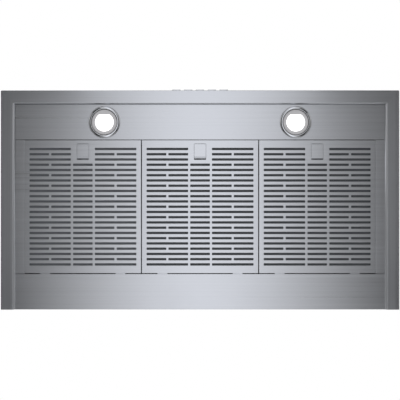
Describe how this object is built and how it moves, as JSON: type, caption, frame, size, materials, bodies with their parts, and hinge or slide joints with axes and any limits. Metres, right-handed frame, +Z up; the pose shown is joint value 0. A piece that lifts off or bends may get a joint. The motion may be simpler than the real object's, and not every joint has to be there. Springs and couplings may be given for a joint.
{
  "type": "wall-mounted chimney range hood",
  "caption": "Stainless wall hood with a flat pyramid canopy, telescopic chimney, lit front strip, slotted metal grease filters with latches, blower and duct collar.",
  "frame": {"origin": "centre of the four wall holes, on the wall plane", "axes": "+Y into the wall, -Y to the front, +X to the right of someone facing the wall, +Z up"},
  "size_m": [0.9, 0.4995, 0.8],
  "materials": {
    "brushed_steel": "brushed stainless steel, fine lines along X on level faces",
    "galvanised_steel": "dull galvanised sheet",
    "plain_steel": "plain bright steel",
    "motor_paint": "satin dark paint",
    "cast_aluminium": "matt",
    "filter_aluminium": "expanded mesh, dull",
    "black_plastic": "matt moulded",
    "grey_plastic": "matt moulded",
    "white_plastic": "matt moulded",
    "fascia_gloss": "polished black",
    "button_chrome": "satin chrome plated",
    "bezel_chrome": "polished",
    "lamp_ring_paint": "satin light grey",
    "lamp_lens_lit": "frosted diffuser, lit"
  },
  "bodies": {
    "hood": {"canopy_shell": "brushed_steel", "lamp_panel": "brushed_steel", "rear_panel": "brushed_steel", "side_filler_left": "brushed_steel", "side_filler_right": "brushed_steel", "lower_chimney": "brushed_steel", "back_plate": "galvanised_steel", "top_plate": "galvanised_steel", "front_rail": "galvanised_steel", "blower_housing": "galvanised_steel", "inlet_ring_left": "galvanised_steel", "inlet_ring_right": "galvanised_steel", "motor_bracket": "galvanised_steel", "motor": "motor_paint", "damper_pin": "plain_steel", "casing_screws": "plain_steel", "capacitor": "cast_aluminium", "duct_collar": "black_plastic", "cable_gland": "black_plastic", "switch_box": "black_plastic", "terminal_box": "grey_plastic", "terminal_lid": "grey_plastic", "led_driver": "white_plastic", "control_fascia": "fascia_gloss", "lamp_bezel_left": "bezel_chrome", "lamp_ring_left": "lamp_ring_paint", "lamp_lens_left": "lamp_lens_lit", "lamp_housing_left": "cast_aluminium", "lamp_bezel_right": "bezel_chrome", "lamp_ring_right": "lamp_ring_paint", "lamp_lens_right": "lamp_lens_lit", "lamp_housing_right": "cast_aluminium"},
    "upper_chimney": {"upper_chimney": "brushed_steel", "ceiling_bracket": "galvanised_steel", "bracket_screws": "plain_steel"},
    "filter_left": {"filter_face_left": "brushed_steel", "filter_mesh_left": "filter_aluminium", "filter_back_left": "brushed_steel", "latch_guide_left": "brushed_steel"},
    "latch_left": {"latch_handle_left": "brushed_steel"},
    "filter_centre": {"filter_face_centre": "brushed_steel", "filter_mesh_centre": "filter_aluminium", "filter_back_centre": "brushed_steel", "latch_guide_centre": "brushed_steel"},
    "latch_centre": {"latch_handle_centre": "brushed_steel"},
    "filter_right": {"filter_face_right": "brushed_steel", "filter_mesh_right": "filter_aluminium", "filter_back_right": "brushed_steel", "latch_guide_right": "brushed_steel"},
    "latch_right": {"latch_handle_right": "brushed_steel"},
    "button_off": {"button_off": "button_chrome"},
    "button_low": {"button_low": "button_chrome"},
    "button_medium": {"button_medium": "button_chrome"},
    "button_high": {"button_high": "button_chrome"},
    "button_light": {"button_light": "button_chrome"},
    "impeller": {"impeller": "galvanised_steel", "motor_shaft": "plain_steel"},
    "damper_front": {"damper_front": "cast_aluminium"},
    "damper_rear": {"damper_rear": "cast_aluminium"}
  },
  "joints": [
    {"name": "upper_chimney_slide", "type": "slide", "parent": "hood", "child": "upper_chimney", "axis": [0, 0, 1], "range_m": [-0.095, 0.2]},
    {"name": "filter_left_swing", "type": "hinge", "parent": "hood", "child": "filter_left", "pos_m": [-0.265, -0.081, -0.1442], "axis": [1, 0, 0], "range_deg": [0, 70]},
    {"name": "latch_left_slide", "type": "slide", "parent": "filter_left", "child": "latch_left", "axis": [0, 1, 0], "range_m": [0, 0.004], "stiffness_N_per_m": 400, "springref_m": -0.005},
    {"name": "filter_centre_swing", "type": "hinge", "parent": "hood", "child": "filter_centre", "pos_m": [0, -0.081, -0.1442], "axis": [1, 0, 0], "range_deg": [0, 70]},
    {"name": "latch_centre_slide", "type": "slide", "parent": "filter_centre", "child": "latch_centre", "axis": [0, 1, 0], "range_m": [0, 0.004], "stiffness_N_per_m": 400, "springref_m": -0.005},
    {"name": "filter_right_swing", "type": "hinge", "parent": "hood", "child": "filter_right", "pos_m": [0.265, -0.081, -0.1442], "axis": [1, 0, 0], "range_deg": [0, 70]},
    {"name": "latch_right_slide", "type": "slide", "parent": "filter_right", "child": "latch_right", "axis": [0, 1, 0], "range_m": [0, 0.004], "stiffness_N_per_m": 400, "springref_m": -0.005},
    {"name": "button_off_press", "type": "slide", "parent": "hood", "child": "button_off", "axis": [0, 1, 0], "range_m": [0, 0.0022], "stiffness_N_per_m": 500, "springref_m": -0.002},
    {"name": "button_low_press", "type": "slide", "parent": "hood", "child": "button_low", "axis": [0, 1, 0], "range_m": [0, 0.0022], "stiffness_N_per_m": 500, "springref_m": -0.002},
    {"name": "button_medium_press", "type": "slide", "parent": "hood", "child": "button_medium", "axis": [0, 1, 0], "range_m": [0, 0.0022], "stiffness_N_per_m": 500, "springref_m": -0.002},
    {"name": "button_high_press", "type": "slide", "parent": "hood", "child": "button_high", "axis": [0, 1, 0], "range_m": [0, 0.0022], "stiffness_N_per_m": 500, "springref_m": -0.002},
    {"name": "button_light_press", "type": "slide", "parent": "hood", "child": "button_light", "axis": [0, 1, 0], "range_m": [0, 0.0022], "stiffness_N_per_m": 500, "springref_m": -0.002},
    {"name": "impeller_spin", "type": "hinge", "parent": "hood", "child": "impeller", "pos_m": [0, -0.196, -0.02], "axis": [1, 0, 0], "continuous": true},
    {"name": "damper_front_flap", "type": "hinge", "parent": "hood", "child": "damper_front", "pos_m": [0, -0.14, 0.1205], "axis": [-1, 0, 0], "range_deg": [0, 80]},
    {"name": "damper_rear_flap", "type": "hinge", "parent": "hood", "child": "damper_rear", "pos_m": [0, -0.14, 0.1205], "axis": [1, 0, 0], "range_deg": [0, 80]}
  ]
}
